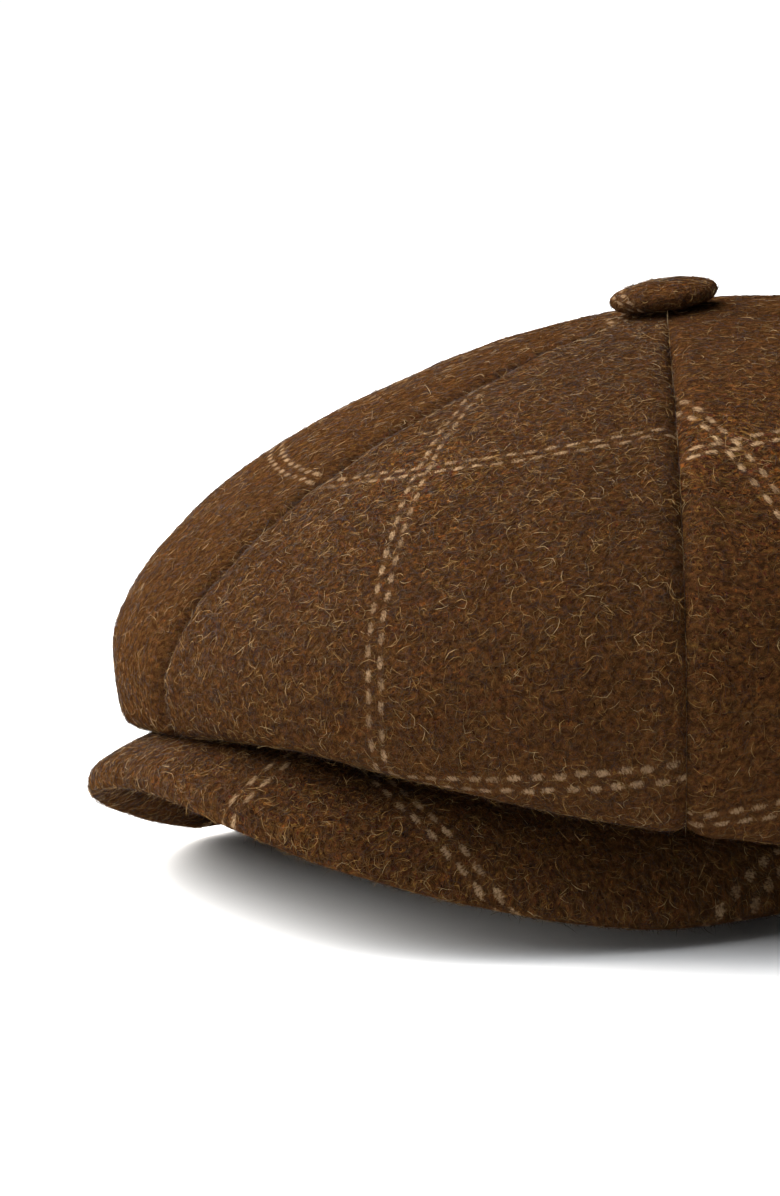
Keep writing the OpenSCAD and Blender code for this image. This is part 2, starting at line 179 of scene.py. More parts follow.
def lining_line(angle, place):
    """Reach and height of the lining: place 0 to 1 is the top, to 2 the turn to the sweatband."""
    reach = crown_reach(angle) * LINING_REACH
    inner = band_reach(CANVAS_HALF, angle) - CLOTH_GAP
    sewn = rim_height(-inner * np.cos(angle)) + BAND_HEIGHT + CLOTH_GAP + LINING_WALL
    full = sewn + LINING_FULLNESS
    share = np.sin(np.pi / 2 * np.clip(place, 0, 1))
    top = reach * share, dome_height(APEX_HEIGHT - LINING_DROP, full, angle, share)
    side = quarter((reach, full), (inner, sewn), np.pi / 2 * np.clip(place - 1, 0, 1))
    return tuple(np.where(place <= 1, a, b) for a, b in zip(top, side))


def on_cap(line, angle, place, depth):
    """Points of an outline, moved inwards by depth, turned to their angle, in metres."""
    step = 0.004
    last = 3 if line is crown_line else 2
    before = line(angle, np.clip(place - step, 0, last))
    after = line(angle, np.clip(place + step, 0, last))
    way = np.stack(after) - np.stack(before)
    way /= np.linalg.norm(way, axis=0) + 1e-12
    reach, height = line(angle, place)
    reach, height = reach + depth * way[1], height - depth * way[0]
    points = [reach * np.sin(angle), MIDDLE_SHIFT - reach * np.cos(angle), height]
    return np.stack(points, -1) * MM


fullest = on_cap(crown_line, np.array([0.0, np.pi / 2]), np.array([1.0, 1.0]), 0)
print("fullest points, front and side, in metres:", fullest.round(4).tolist())

# %% [markdown]
# ## Sheets of cloth
# Cloth is modelled as a sheet: a grid is added, each of its vertices is moved to its place on the cap,
# and the sheet then gets its thickness from a Solidify modifier, which is applied. A simulation could
# drape the cloth instead, but a sewn cap has a fixed shape, and moving the vertices keeps the seams
# where they belong. Each sheet also carries a UV map in metres of flat cloth, so that a woven pattern
# lies on the piece as it would on the real cut.


# %% A sheet of cloth
def only(piece):
    bpy.ops.object.select_all(action="DESELECT")
    piece.select_set(True)
    bpy.context.view_layer.objects.active = piece


def apply_modifier(piece, kind, **settings):
    only(piece)
    modifier = piece.modifiers.new(kind.lower(), kind)
    for key, value in settings.items():
        setattr(modifier, key, value)
    bpy.ops.object.modifier_apply(modifier=modifier.name)


skins = {}


def cloth_sheet(name, columns, rows, shape, flat, middle):
    """A grid of cloth. shape and flat give each vertex its place on the cap and on the flat cloth, from
    its share across and along the sheet. middle is a point on the sheet's inner side."""
    bpy.ops.mesh.primitive_grid_add(x_subdivisions=columns, y_subdivisions=rows, size=2)
    piece = bpy.context.object
    piece.name = piece.data.name = name
    mesh = piece.data
    places = np.empty(len(mesh.vertices) * 3)
    mesh.vertices.foreach_get("co", places)
    across, along = (places.reshape(-1, 3)[:, :2].T + 1) / 2
    places = shape(across, along)
    mesh.vertices.foreach_set("co", places.ravel())
    loops = np.empty(len(mesh.loops), int)
    mesh.loops.foreach_get("vertex_index", loops)
    mesh.uv_layers[0].data.foreach_set("uv", flat(across, along)[loops].ravel())
    mesh.update()
    i, j = np.rint(along * rows).astype(int), np.rint(across * columns).astype(int)
    skin = np.empty((rows + 1, columns + 1, 3))
    skin[i, j] = places
    normal = np.cross(np.gradient(skin, axis=1), np.gradient(skin, axis=0))
    outwards = np.sum(normal * (skin - np.array(middle(skin))), -1).sum() > 0
    faces = np.empty(len(mesh.polygons) * 3)
    mesh.polygons.foreach_get("normal", faces)
    centres = np.empty(len(mesh.polygons) * 3)
    mesh.polygons.foreach_get("center", centres)
    centres = centres.reshape(-1, 3)
    if np.sum(faces.reshape(-1, 3) * (centres - np.array(middle(centres)))) < 0:
        mesh.flip_normals()
    skins[name] = skin, normal * (1 if outwards else -1)
    return piece


def give_thickness(piece, wall, smooth=True):
    """Adds the cloth's thickness on its inner side, in millimetres."""
    apply_modifier(piece, "SOLIDIFY", thickness=wall * MM, offset=-1, use_even_offset=False)
    only(piece)
    if smooth:
        bpy.ops.object.shade_smooth_by_angle(angle=math.radians(50))
    print(piece.name, len(piece.data.polygons), "faces")


print("sheets are made from a grid, then given a thickness")

# %% [markdown]
# ## Crown panels
# A real panel is a gore, cut from flat wool and sewn to its neighbours edge to edge, with about 4 mm of
# each edge turned inside. That turning makes a narrow groove along the seam, a low ridge where the cloth
# lies double beside it, and small puckers where the stitches draw the cloth in. The grid's columns crowd
# together near the seams to hold those details, and its outermost columns turn inside as the seam does.
# A slow, seeded waviness over the whole crown keeps the wool from looking like a moulded shell.

# %% Waviness and seam profile
TURNING = 3.5
SEAM_GAP = 0.12


def waves(points, seed, count, longest, shortest):
    """A smooth field with a height of about 1, made of a few plane waves in space."""
    draw = np.random.default_rng(seed)
    total = np.zeros(points.shape[:-1])
    for _ in range(count):
        way = draw.normal(size=3)
        way /= np.linalg.norm(way)
        length = draw.uniform(shortest, longest) * MM
        total += np.sin(points @ way * (2 * np.pi / length) + draw.uniform(0, 2 * np.pi))
    return total / math.sqrt(count)


def seam_sink(gap, room, pucker):
    """How far the cloth sinks at a distance from its seam, in millimetres. room narrows it near the apex."""
    scale = np.clip(room / 60, 0.12, 1)
    groove = 1.5 * np.exp(-((gap / (1.25 * scale)) ** 1.3))
    dip = 0.75 * np.exp(-((gap / (11 * scale)) ** 2))
    ridge = -0.55 * np.exp(-(((gap - 5.5 * scale) / (3.2 * scale)) ** 2))
    drawn = 0.32 * pucker * np.exp(-gap / (5 * scale))
    return (groove + dip + ridge + drawn) * np.clip(scale * 1.6, 0.35, 1)


def crowd(share):
    """Moves evenly spaced columns towards both edges."""
    return 0.5 - 0.5 * np.cos(np.pi * np.clip(share, 0, 1))


print("seam sinks", round(float(seam_sink(0.0, 60.0, 0.0)), 2), "mm")

# %% Flat cloth of a crown panel
# Each panel is cut from the check at its own turn: shift moves the check across and along the cloth, and
# lean and slant turn it, at the top and at the lower edge.
CUTS = {
    "front_left": dict(shift=(-35.4, 85.6), lean=0.236, slant=(0.247, 0.07)),
    "side_left": dict(shift=(-33.6, 81.6), lean=0.0, slant=(0.097, 0.166)),
    "rear_left": dict(shift=(20.0, 82.0), lean=0.06, slant=(0.05, 0.08)),
    "rear_right": dict(shift=(-24.0, 82.0), lean=-0.05, slant=(-0.04, -0.06)),
    "side_right": dict(shift=(30.0, 80.0), lean=0.03, slant=(-0.05, -0.2)),
    "front_right": dict(shift=(-16.0, 94.0), lean=0.0, slant=(-0.013, 0.02)),
}
SLANT_FROM, SLANT_TO, LEAN_TO = 85.0, 170.0, 152.0
CROWN_PLACES = (0.0, 3.0)


def panel_rulers(number, lines=25):
    """Length along a panel from the apex at each place, in millimetres, on lines from edge to edge."""
    place = np.linspace(*CROWN_PLACES, 601)
    shares = np.linspace(0, 1, lines)
    lengths = []
    for share in shares:
        line = on_cap(crown_line, np.full_like(place, PANEL_ANGLE * (number + share)), place, 0) / MM
        steps = np.linalg.norm(np.diff(line, axis=0), axis=1)
        lengths.append(np.concatenate([[0], np.cumsum(steps)]))
    return place, np.array(lengths)


def panel_flat(number, angle, place, share):
    ruler, lengths = panel_rulers(number)
    line = np.clip(share, 0, 1) * (len(lengths) - 1)
    first = np.minimum(line.astype(int), len(lengths) - 2)
    step = place / CROWN_PLACES[1] * (len(ruler) - 1)
    low = np.minimum(step.astype(int), len(ruler) - 2)
    s, t = line - first, step - low
    along = (lengths[first, low] * (1 - s) + lengths[first + 1, low] * s) * (1 - t)
    along += (lengths[first, low + 1] * (1 - s) + lengths[first + 1, low + 1] * s) * t
    off = angle - PANEL_ANGLE * (number + 0.5)
    steps = 12
    last = on_cap(crown_line, angle - off, place, 0) / MM
    across = np.zeros_like(angle)
    for step in range(1, steps + 1):
        point = on_cap(crown_line, angle - off + off * step / steps, place, 0) / MM
        across += np.linalg.norm(point - last, axis=-1)
        last = point
    return across * np.sign(off), along


def check_flat(cut, across, along):
    turn = np.clip((along - SLANT_FROM) / (SLANT_TO - SLANT_FROM), -0.3, 1.3)
    slant = cut["slant"][0] + (cut["slant"][1] - cut["slant"][0]) * turn
    x = across - cut["lean"] * np.minimum(along, LEAN_TO) - cut["shift"][0]
    y = along + slant * across - cut["shift"][1]
    return np.stack([x, y], -1) * MM


print("panel is", round(panel_rulers(0)[1][12, -1]), "mm long down its middle")

# %% Model the crown panels
# A positive depth is towards the cap's inside. At the fold that is upwards, so the fold is drawn up by
# FOLD_LIFT, except at the front right, where it hangs lower. The top swells slightly round the button.
PANEL_COLUMNS, PANEL_ROWS = 60, 120
FOLD_LIFT, FRONT_SETTLING, FRONT_TURN = 0.9, 3.6, math.radians(20)
FOLD_PLACE, FOLD_WIDTH = 1.95, 0.4
SWELL_HEIGHT, SWELL_REACH, SWELL_WIDTH = 0.2, 32, 20


def panel_place(along):
    """Rows crowd together where the crown turns under."""
    return np.interp(along, [0, 0.58, 0.84, 1], [0, 1, 2, 3])


def make_panel(number, side):
    cut = CUTS[side]
    middle_angle = PANEL_ANGLE * (number + 0.5)

    def grid(across, along):
        column = np.clip((across * PANEL_COLUMNS - 1) / (PANEL_COLUMNS - 2), 0, 1)
        turned = (across < 0.5 / PANEL_COLUMNS) | (across > 1 - 0.5 / PANEL_COLUMNS)
        place = panel_place(along)
        share = crowd(column)
        angle = PANEL_ANGLE * (number + share)
        reach = crown_line(angle, place)[0]
        slim = np.clip(SEAM_GAP / reach, 0, 0.1)
        angle = middle_angle + (angle - middle_angle) * (1 - slim / (PANEL_ANGLE / 2))
        gap = PANEL_ANGLE * reach * np.minimum(share, 1 - share)
        return place, angle, reach, gap, turned, share

    def shape(across, along):
        place, angle, reach, gap, turned, share = grid(across, along)
        smooth = on_cap(crown_line, angle, place, 0)
        side_seed = np.where(share < 0.5, 3.0, 7.0) + number
        beat = np.sin(place * 31 + side_seed * 2.1) + 0.7 * np.sin(place * 53 + side_seed)
        room = PANEL_ANGLE * reach
        sink = seam_sink(gap, room, beat)
        still = np.clip((reach - 14) / 25, 0, 1) * np.clip((2.9 - place) / 0.5, 0, 1)
        wavy = 0.35 * waves(smooth, 11, 7, 95, 50) + 0.15 * waves(smooth, 12, 9, 34, 18)
        signed = (angle + np.pi) % (2 * np.pi) - np.pi
        front = np.clip((FRONT_TURN - signed) / FRONT_TURN, 0, 1) * (np.cos(signed) > 0.3)
        lifted = (FOLD_LIFT - FRONT_SETTLING * front) * np.exp(-(((place - FOLD_PLACE) / FOLD_WIDTH) ** 2))
        lifted = lifted - SWELL_HEIGHT * np.exp(-(((reach - SWELL_REACH) / SWELL_WIDTH) ** 2)) * still
        deep = sink * np.clip(still + 0.3, 0, 1) - wavy * still + lifted + 0.1
        return on_cap(crown_line, angle, place, deep + np.where(turned, TURNING, 0))

    def flat(across, along):
        place, angle, _, _, _, share = grid(across, along)
        return check_flat(cut, *panel_flat(number, angle, place, share))

    def heart(points):
        return np.array([0, MIDDLE_SHIFT * MM, 0.06])

    piece = cloth_sheet(f"crown_wool_{side}", PANEL_COLUMNS, PANEL_ROWS, shape, flat, heart)
    give_thickness(piece, CROWN_WALL - 0.2)
    return piece


crown_wool = {side: make_panel(number, side) for number, side in enumerate(PANELS)}

# %% [markdown]
# ## Lining
# The lining is six panels of smooth twill, smaller than the crown, that hang inside it and are sewn to
# the sweatband. It could be one dome, but the seams show from below, so it is made in panels in the same
# way as the crown, with a finer seam because the cloth is thin.

# %% Model the lining panels
LINING_COLUMNS, LINING_ROWS = 30, 60


def make_lining(number, side):
    middle_angle = PANEL_ANGLE * (number + 0.5)

    def grid(across, along):
        place = np.interp(along, [0, 0.75, 1], [0.03, 1, 2])
        share = crowd(across)
        angle = PANEL_ANGLE * (number + share)
        reach = np.maximum(lining_line(angle, place)[0], 1)
        slim = np.clip(0.05 / reach, 0, 0.02)
        return place, middle_angle + (angle - middle_angle) * (1 - slim), reach, share

    def shape(across, along):
        place, angle, reach, share = grid(across, along)
        gap = PANEL_ANGLE * reach * np.minimum(share, 1 - share)
        smooth = on_cap(lining_line, angle, place, 0)
        still = np.clip(reach / 30, 0, 1) * np.clip((1.9 - place) / 0.4, 0, 1)
        wavy = 0.8 * waves(smooth, 21, 8, 70, 30)
        tuck = 0.9 * np.exp(-((gap / 1.5) ** 2)) * np.clip(reach / 20, 0, 1)
        return on_cap(lining_line, angle, place, 0.6 + (wavy + 1) * still - tuck)

    def flat(across, along):
        place, angle, reach, share = grid(across, along)
        return np.stack([reach * (angle - middle_angle), place * 90], -1) * MM

    def heart(points):
        return np.array([0, MIDDLE_SHIFT * MM, 0.05])

    piece = cloth_sheet(f"lining_twill_{side}", LINING_COLUMNS, LINING_ROWS, shape, flat, heart)
    give_thickness(piece, LINING_WALL - 0.2)
    return piece


lining_twill = {side: make_lining(number, side) for number, side in enumerate(PANELS)}

# %% [markdown]
# ## Headband, canvas and sweatband
# Three strips stand round the head opening, one inside the other: a wool band outside, a stiff canvas
# that nobody sees, and a ribbed sweatband against the head. Each could be cut from a tube, but the rim
# rises towards the front, so each is a strip of cloth bent round the opening, and its two ends meet in a
# seam at the middle of the back, as on the real cap.

# %% Model the strips
STRIP_COLUMNS, STRIP_ROWS = 180, 14
END_GAP = 0.0006


def make_strip(name, half, low, high, wall, roll=0.0):
    """A strip whose outer face is on the ellipse half, from low above the rim to high above it. roll
    draws its lower edge in."""

    def grid(across, along):
        turn = np.pi + END_GAP + across * (2 * np.pi - 2 * END_GAP)
        return turn, low + (high - low) * along

    def shape(across, along):
        turn, height = grid(across, along)
        x, y = half[0] * np.sin(turn), OPENING_SETBACK - half[1] * np.cos(turn)
        rim = rim_height(y)
        points = np.stack([x, y + MIDDLE_SHIFT, rim + height], -1)
        out = 0.12 * waves(points * MM, 31, 6, 60, 25) - roll * np.exp(-((along / 0.12) ** 2))
        slope = np.stack([x / half[0] ** 2, (y - OPENING_SETBACK) / half[1] ** 2], -1)
        slope /= np.linalg.norm(slope, axis=-1, keepdims=True)
        points[:, :2] += slope * out[:, None]
        return points * MM

    def flat(across, along):
        turn, height = grid(across, along)
        return np.stack([(turn - np.pi) * sum(half) / 2 + 30, height + 38], -1) * MM

    def heart(points):
        return points * np.array([0, 0, 1]) + np.array([0, (OPENING_SETBACK + MIDDLE_SHIFT) * MM, 0])

    piece = cloth_sheet(name, STRIP_COLUMNS, STRIP_ROWS, shape, flat, heart)
    give_thickness(piece, wall, smooth=False)
    apply_modifier(piece, "SUBSURF", levels=1, render_levels=1)
    only(piece)
    bpy.ops.object.shade_smooth_by_angle(angle=math.radians(60))
    return piece


headband_wool = make_strip("headband_wool", BAND_OUTER, 0.3, 29.8, 1.8, roll=0.5)
band_canvas = make_strip("band_canvas_strip", widened(CANVAS_HALF, CANVAS_WALL - 0.05), 0.8, 27.8, 0.85)
sweatband = make_strip("sweatband_ribbon", widened(OPENING_HALF, SWEATBAND_WALL - 0.1), 0.7, 29.8, 0.75)

# %% [markdown]
# ## Stitches of the sweatband
# A row of stitches near the rim holds the sweatband to the headband. Each one is the same short float of
# thread, so one is modelled, as a stretched sphere, and copied round the opening into a single piece. The
# copies differ only in place and turn, so their corners are worked out together.

# %% Model one stitch and copy it round the opening
STITCHES, STITCH_LONG, STITCH_THICK = 176, 2.3, 0.45
STITCH_HEIGHT = 3.0
bpy.ops.mesh.primitive_uv_sphere_add(segments=6, ring_count=4, radius=0.5)
stitch_thread = bpy.context.object
stitch_thread.name = stitch_thread.data.name = "sweatband_stitches"
stitch = np.array([vertex.co[:] for vertex in stitch_thread.data.vertices])
stitch_faces = [tuple(face.vertices) for face in stitch_thread.data.polygons]
stitch = stitch[:, [2, 0, 1]] * np.array([STITCH_LONG, STITCH_THICK, STITCH_THICK])
turn = (np.arange(STITCHES) + 0.5) * 2 * np.pi / STITCHES
half = widened(OPENING_HALF, 0.1)
y = OPENING_SETBACK - half[1] * np.cos(turn)
centre = np.stack([half[0] * np.sin(turn), y + MIDDLE_SHIFT, rim_height(y) + STITCH_HEIGHT], -1)
ahead = np.stack([half[0] * np.cos(turn), half[1] * np.sin(turn), 0 * turn], -1)
ahead[:, 2] = np.where(y < RIM_FLAT_Y, -RIM_SLOPE, 0) * ahead[:, 1]
ahead /= np.linalg.norm(ahead, axis=1, keepdims=True)
inwards = np.cross([0.0, 0.0, 1.0], ahead)
upright = np.cross(ahead, inwards)
ways = (ahead, inwards, upright)
places = centre[:, None] + sum(stitch[None, :, k, None] * ways[k][:, None] for k in range(3))
faces = [tuple(corner + number * len(stitch) for corner in face)
         for number in range(STITCHES) for face in stitch_faces]
stitch_thread.data.clear_geometry()
stitch_thread.data.from_pydata((places.reshape(-1, 3) * MM).tolist(), [], faces)
stitch_thread.data.shade_smooth()
print(STITCHES, "stitches,", len(faces), "faces")

# %% [markdown]
# ## Visor
# The visor is a curved board covered with wool. The top cover rolls round the board's edge and ends in a
# seam on the underside, where the under cover begins. A board with a bevel would look like plastic, so
# both covers are sheets: the top one follows the board, goes round its edge in a half circle and turns
# in. The visor arches up over the forehead, and it has settled a little towards the wearer's left. On its
# right the cover turns in further, which shows a broad rolled edge there.

# %% Outline of the visor
VISOR_SQUARENESS, VISOR_ARCH, VISOR_LEAN, VISOR_CAMBER = 2.6, 29.0, 7.0, 8.0
VISOR_HALF_WALL = 2.5
VISOR_FLOOR_GAP = 0.3
VISOR_END, VISOR_END_ROUND = 85.0, 18.0
VISOR_UNDER = 4.0


def visor_root(turn):
    x, y = BAND_OUTER[0] * np.sin(turn), OPENING_SETBACK - BAND_OUTER[1] * np.cos(turn)
    return np.stack([x, y + MIDDLE_SHIFT, rim_height(y) + VISOR_HALF_WALL], -1)


def visor_rim(turn):
    power = 2 / VISOR_SQUARENESS
    x = VISOR_HALF_WIDTH * np.sign(turn) * np.abs(np.sin(turn)) ** power
    y = OPENING_SETBACK - (VISOR_REACH + OPENING_SETBACK) * np.cos(turn) ** power
    arch = np.maximum(0, 1 - (np.abs(x - VISOR_LEAN) / (VISOR_HALF_WIDTH - VISOR_LEAN)) ** 2)
    height = VISOR_FLOOR_GAP + VISOR_HALF_WALL + VISOR_ARCH * arch
    edge = np.stack([x, y + MIDDLE_SHIFT, height], -1)
    over = np.maximum(0, np.abs(np.degrees(turn)) - VISOR_END + VISOR_END_ROUND) / (VISOR_END_ROUND + 1)
    root = visor_root(turn)
    return root + (edge - root) * np.sqrt(1 - over**2)[..., None]


def visor_middle(turn, share):
    root, rim = visor_root(turn), visor_rim(turn)
    camber = np.minimum(VISOR_CAMBER, np.linalg.norm(rim - root, axis=-1) / 6)
    middle = root + (rim - root) * share[..., None]
    middle[..., 2] += camber * np.sin(np.pi * np.minimum(share, 1))
    return middle


def visor_across(turn, share):
    """Direction across the visor: upright at its root and square to it further out."""
    step = math.radians(1)
    along = visor_middle(turn + step, share) - visor_middle(turn - step, share)
    out = visor_rim(turn) - visor_root(turn)
    square = np.cross(out, along)
    square /= np.linalg.norm(square, axis=-1, keepdims=True)
    lean = np.clip(3 * share, 0, 1)[..., None]
    across = np.array([0.0, 0.0, 1.0]) * (1 - lean) + square * lean
    return across / np.linalg.norm(across, axis=-1, keepdims=True)


VISOR_STRIPE = dict(skew=0.32, middle=(33.0, -121.0), row=-104.4, bow=0.00995, bow_from=45.0)


def visor_flat(points):
    x, y = points[:, 0] / MM, points[:, 1] / MM
    line = np.linspace(-110, 110, 441)
    fall = 2 * VISOR_ARCH * (line - VISOR_LEAN) / (VISOR_HALF_WIDTH - VISOR_LEAN) ** 2
    arc = np.cumsum(np.sqrt(1 + fall**2)) * (line[1] - line[0])
    middle, front = VISOR_STRIPE["middle"]
    a = np.interp(x, line, arc) - np.interp(middle, line, arc) + VISOR_STRIPE["skew"] * (y - front)
    bow = VISOR_STRIPE["bow"] * np.maximum(0, np.abs(x) - VISOR_STRIPE["bow_from"]) ** 2
    return np.stack([a, y - VISOR_STRIPE["row"] - bow], -1) * MM


front = visor_rim(np.array([0.0]))[0]
print("front edge of the visor at", front.round(1).tolist(), "mm")

# %% Model the visor covers
VISOR_COLUMNS, VISOR_ROWS = 150, 64
BROAD_TURN, BROAD_SPREAD, BROAD_EXTRA = -0.72, 0.3, 8
LEAST_WIDTH = 12
WIDEST_EDGE = 0.4


def make_visor_cover(name, place_of, sink_of, wall, above):
    """place_of turns the share along the sheet into a share of the board, a roll and a way underneath."""

    def shape(across, along):
        turn = np.radians(VISOR_END) * (2 * across - 1)
        width = np.linalg.norm(visor_rim(turn) - visor_root(turn), axis=-1)
        board = 1 - np.minimum(VISOR_HALF_WALL / width, WIDEST_EDGE)
        over, roll, under = place_of(along)
        broad = np.exp(-(((turn - BROAD_TURN) / BROAD_SPREAD) ** 2))
        turned_in = np.minimum(VISOR_UNDER + BROAD_EXTRA * broad, 0.45 * width)
        share = board * over + (1 - board) * np.sin(np.pi * roll)
        share = share - under * turned_in / np.maximum(width, LEAST_WIDTH)
        height = VISOR_HALF_WALL * np.cos(np.pi * roll) * (1 if above else -1)
        height = height - (1.2 * broad + 0.4) * np.sin(np.pi * under) * above
        points = visor_middle(turn, np.clip(share, 0, None))
        still = np.clip(share / 0.15, 0, 1)
        wavy = 0.3 * waves(points * MM, 41, 8, 55, 18) * still
        height = height + np.sign(height) * (wavy - sink_of(along))
        return (points + visor_across(turn, np.clip(share, 0, 1)) * height[:, None]) * MM

    def flat(across, along):
        turn = np.radians(VISOR_END) * (2 * across - 1)
        root, rim = visor_root(turn), visor_rim(turn)
        width = np.linalg.norm(rim - root, axis=-1)
        over, roll, under = place_of(along)
        if not above:
            over, under = over - VISOR_UNDER * under / np.maximum(width, LEAST_WIDTH), 0
        spare = np.pi * VISOR_HALF_WALL * roll + VISOR_UNDER * under
        board = 1 - np.minimum(VISOR_HALF_WALL / width, WIDEST_EDGE)
        share = board * over + spare / np.maximum(width, LEAST_WIDTH)
        return visor_flat((root + (rim - root) * share[:, None]) * MM)

    def heart(points):
        turn = np.linspace(-1.2, 1.2, 7)
        line = visor_middle(turn, np.full(7, 0.5)) * MM
        far = np.linalg.norm(points[..., None, :] - line, axis=-1)
        nearest = line[np.argmin(far, axis=-1)]
        return np.stack([points[..., 0], points[..., 1] * 0.7 + nearest[..., 1] * 0.3, nearest[..., 2]], -1)

    piece = cloth_sheet(name, VISOR_COLUMNS, VISOR_ROWS, shape, flat, heart)
    give_thickness(piece, wall)
    return piece


def over_and_round(along):
    over = np.interp(along, [0, 0.62, 1], [0, 1, 1])
    roll = np.interp(along, [0, 0.62, 0.88, 1], [0, 0, 1, 1])
    under = np.interp(along, [0, 0.88, 1], [0, 0, 1])
    return over, roll, under


def underneath(along):
    return along, np.zeros_like(along), 1.08 * along


def top_sink(along):
    return 0.7 * np.exp(-(((1 - along) / 0.03) ** 2)) - 0.35 * np.exp(-(((along - 0.6) / 0.1) ** 2))


def under_sink(along):
    return 0.9 * np.exp(-(((1 - along) / 0.03) ** 2))


visor_top = make_visor_cover("visor_top_wool", over_and_round, top_sink, 1.4, True)
visor_under = make_visor_cover("visor_under_wool", underneath, under_sink, 1.4, False)

# %% [markdown]
# ## Covered button
# The button is a metal shell with a disc of the same wool gathered over it. A sphere is the nearest
# primitive: its rings are moved onto the button's outline, a domed top, a belly and a turned-in underside,
# and the middle of its underside is opened for the back plate. Small creases run in from the edge, where
# the cloth is gathered. Cloth pulled tight over a shell lies flatter than the plain solid that stands for
# it, so this cover is 0.7 mm lower.

# %% Model the button's cover
BUTTON_RADIUS, BUTTON_HEIGHT, BUTTON_BELLY = 12.7, 5.8, 2.6
BUTTON_GAP, BUTTON_TURNING, BUTTON_COVER_WALL = 0.3, 3.0, 1.1
BUTTON_SEGMENTS, BUTTON_RINGS = 96, 48
BUTTON_GRAIN = math.radians(56.5)
BUTTON_STRIPE = (-10.0, 42.0)
UNDERSIDE = -0.94
spin = next(joint for joint in frame["joints"] if joint["name"] == "button_spin")
spin_axis = Vector(spin["axis"]).normalized()
apex = Vector((0, MIDDLE_SHIFT * MM, APEX_HEIGHT * MM))
tilt = math.atan2(-spin_axis.y, spin_axis.z)
button_place = Matrix.Translation(apex) @ Matrix.Rotation(tilt, 4, "X")

bpy.ops.object.select_all(action="DESELECT")
bpy.ops.mesh.primitive_uv_sphere_add(segments=BUTTON_SEGMENTS, ring_count=BUTTON_RINGS, radius=1)
button_wool = bpy.context.object
button_wool.name = button_wool.data.name = "button_wool"
bpy.ops.object.mode_set(mode="EDIT")
bpy.ops.mesh.select_all(action="DESELECT")
bpy.ops.object.mode_set(mode="OBJECT")
for face in button_wool.data.polygons:
    face.select = face.center.z < UNDERSIDE
bpy.ops.object.mode_set(mode="EDIT")
bpy.ops.mesh.select_mode(type="FACE")
bpy.ops.mesh.delete(type="FACE")
bpy.ops.object.mode_set(mode="OBJECT")

ball = np.array([vertex.co[:] for vertex in button_wool.data.vertices])
turn = np.arctan2(ball[:, 1], ball[:, 0])
flatness = np.hypot(ball[:, 0], ball[:, 1])
lowest = math.acos(UNDERSIDE) - np.pi / 2
dip = np.arctan2(-np.minimum(ball[:, 2], 0), flatness) / lowest * np.pi / 2
upper = ball[:, 2] >= 0
gathers = 0.14 * np.sin(turn * 23 + 2 * np.sin(turn * 3)) * np.clip(flatness, 0, 1) ** 6
reach = np.where(upper, BUTTON_RADIUS * flatness,
                 BUTTON_RADIUS - BUTTON_TURNING + BUTTON_TURNING * np.cos(np.minimum(dip, np.pi / 2)))
rise = np.where(upper, BUTTON_BELLY + (BUTTON_HEIGHT - BUTTON_BELLY) * np.maximum(ball[:, 2], 0) ** 0.92,
                BUTTON_BELLY * (1 - np.sin(np.minimum(dip, np.pi / 2))))
reach = reach + gathers
places = np.stack([reach * np.cos(turn), reach * np.sin(turn), BUTTON_GAP + rise], -1) * MM
places += 0.12 * MM * waves(places, 51, 6, 14, 6)[:, None] * ball
button_wool.data.vertices.foreach_set("co", places.ravel())
bpy.ops.object.mode_set(mode="EDIT")
bpy.ops.mesh.select_all(action="SELECT")
bpy.ops.mesh.normals_make_consistent(inside=False)
bpy.ops.object.mode_set(mode="OBJECT")
print("button is", round(2 * reach.max(), 1), "mm across")

# %% Lay the button's cloth and put it in its place
slide = np.where(upper, np.arcsin(np.clip(flatness, 0, 1)) / (np.pi / 2) * 15, 15 + 4 * dip)
cut_x, cut_y = slide * np.cos(turn - BUTTON_GRAIN), slide * np.sin(turn - BUTTON_GRAIN)
button_uv = np.stack([cut_x - BUTTON_STRIPE[0], cut_y - BUTTON_STRIPE[1]], -1) * MM
loops = np.empty(len(button_wool.data.loops), int)
button_wool.data.loops.foreach_get("vertex_index", loops)
button_wool.data.uv_layers[0].data.foreach_set("uv", button_uv[loops].ravel())
give_thickness(button_wool, BUTTON_COVER_WALL - 0.1)
button_wool.data.transform(button_place)
print(button_wool.name, "is tilted", round(math.degrees(tilt), 1), "degrees")

# %% [markdown]
# ## Loose fibres
# Milled wool is covered with short hairs that lie on the surface in every direction, and a few stand up
# and soften its outline. Hair particles could do it, but a model that is handed on needs real, closed
# meshes. One fibre is a thin three-sided spindle, and copies of it are bent and laid on each piece, with a
# seeded draw. There are tens of thousands of them, too many to add one by one with operators, so their
# corners are written straight into a mesh. Each copy keeps a tone, which its material turns into a colour.

# %% Model one fibre
FIBRE_RINGS = [(0.2, 0.85), (0.5, 1.0), (0.8, 0.75)]

ring = np.array([[math.cos(a), math.sin(a)] for a in (0.0, 2 * math.pi / 3, 4 * math.pi / 3)])
fibre_along = [0.0] + [along for along, _ in FIBRE_RINGS for _ in range(3)] + [1.0]
rings = [tuple(thick * ring[k]) for _, thick in FIBRE_RINGS for k in range(3)]
fibre_round = [(0.0, 0.0)] + rings + [(0.0, 0.0)]
fibre_faces = [(0, 1 + (k + 1) % 3, 1 + k) for k in range(3)]
for first in (1, 4):
    for k in range(3):
        a, b = first + k, first + (k + 1) % 3
        fibre_faces += [(a, b, b + 3), (a, b + 3, a + 3)]
fibre_faces += [(10, 7 + k, 7 + (k + 1) % 3) for k in range(3)]
fibre_along, fibre_round, fibre_faces = map(np.array, (fibre_along, fibre_round, fibre_faces))
FIBRE_CORNERS = len(fibre_along)
print("one fibre has", len(fibre_faces), "faces")


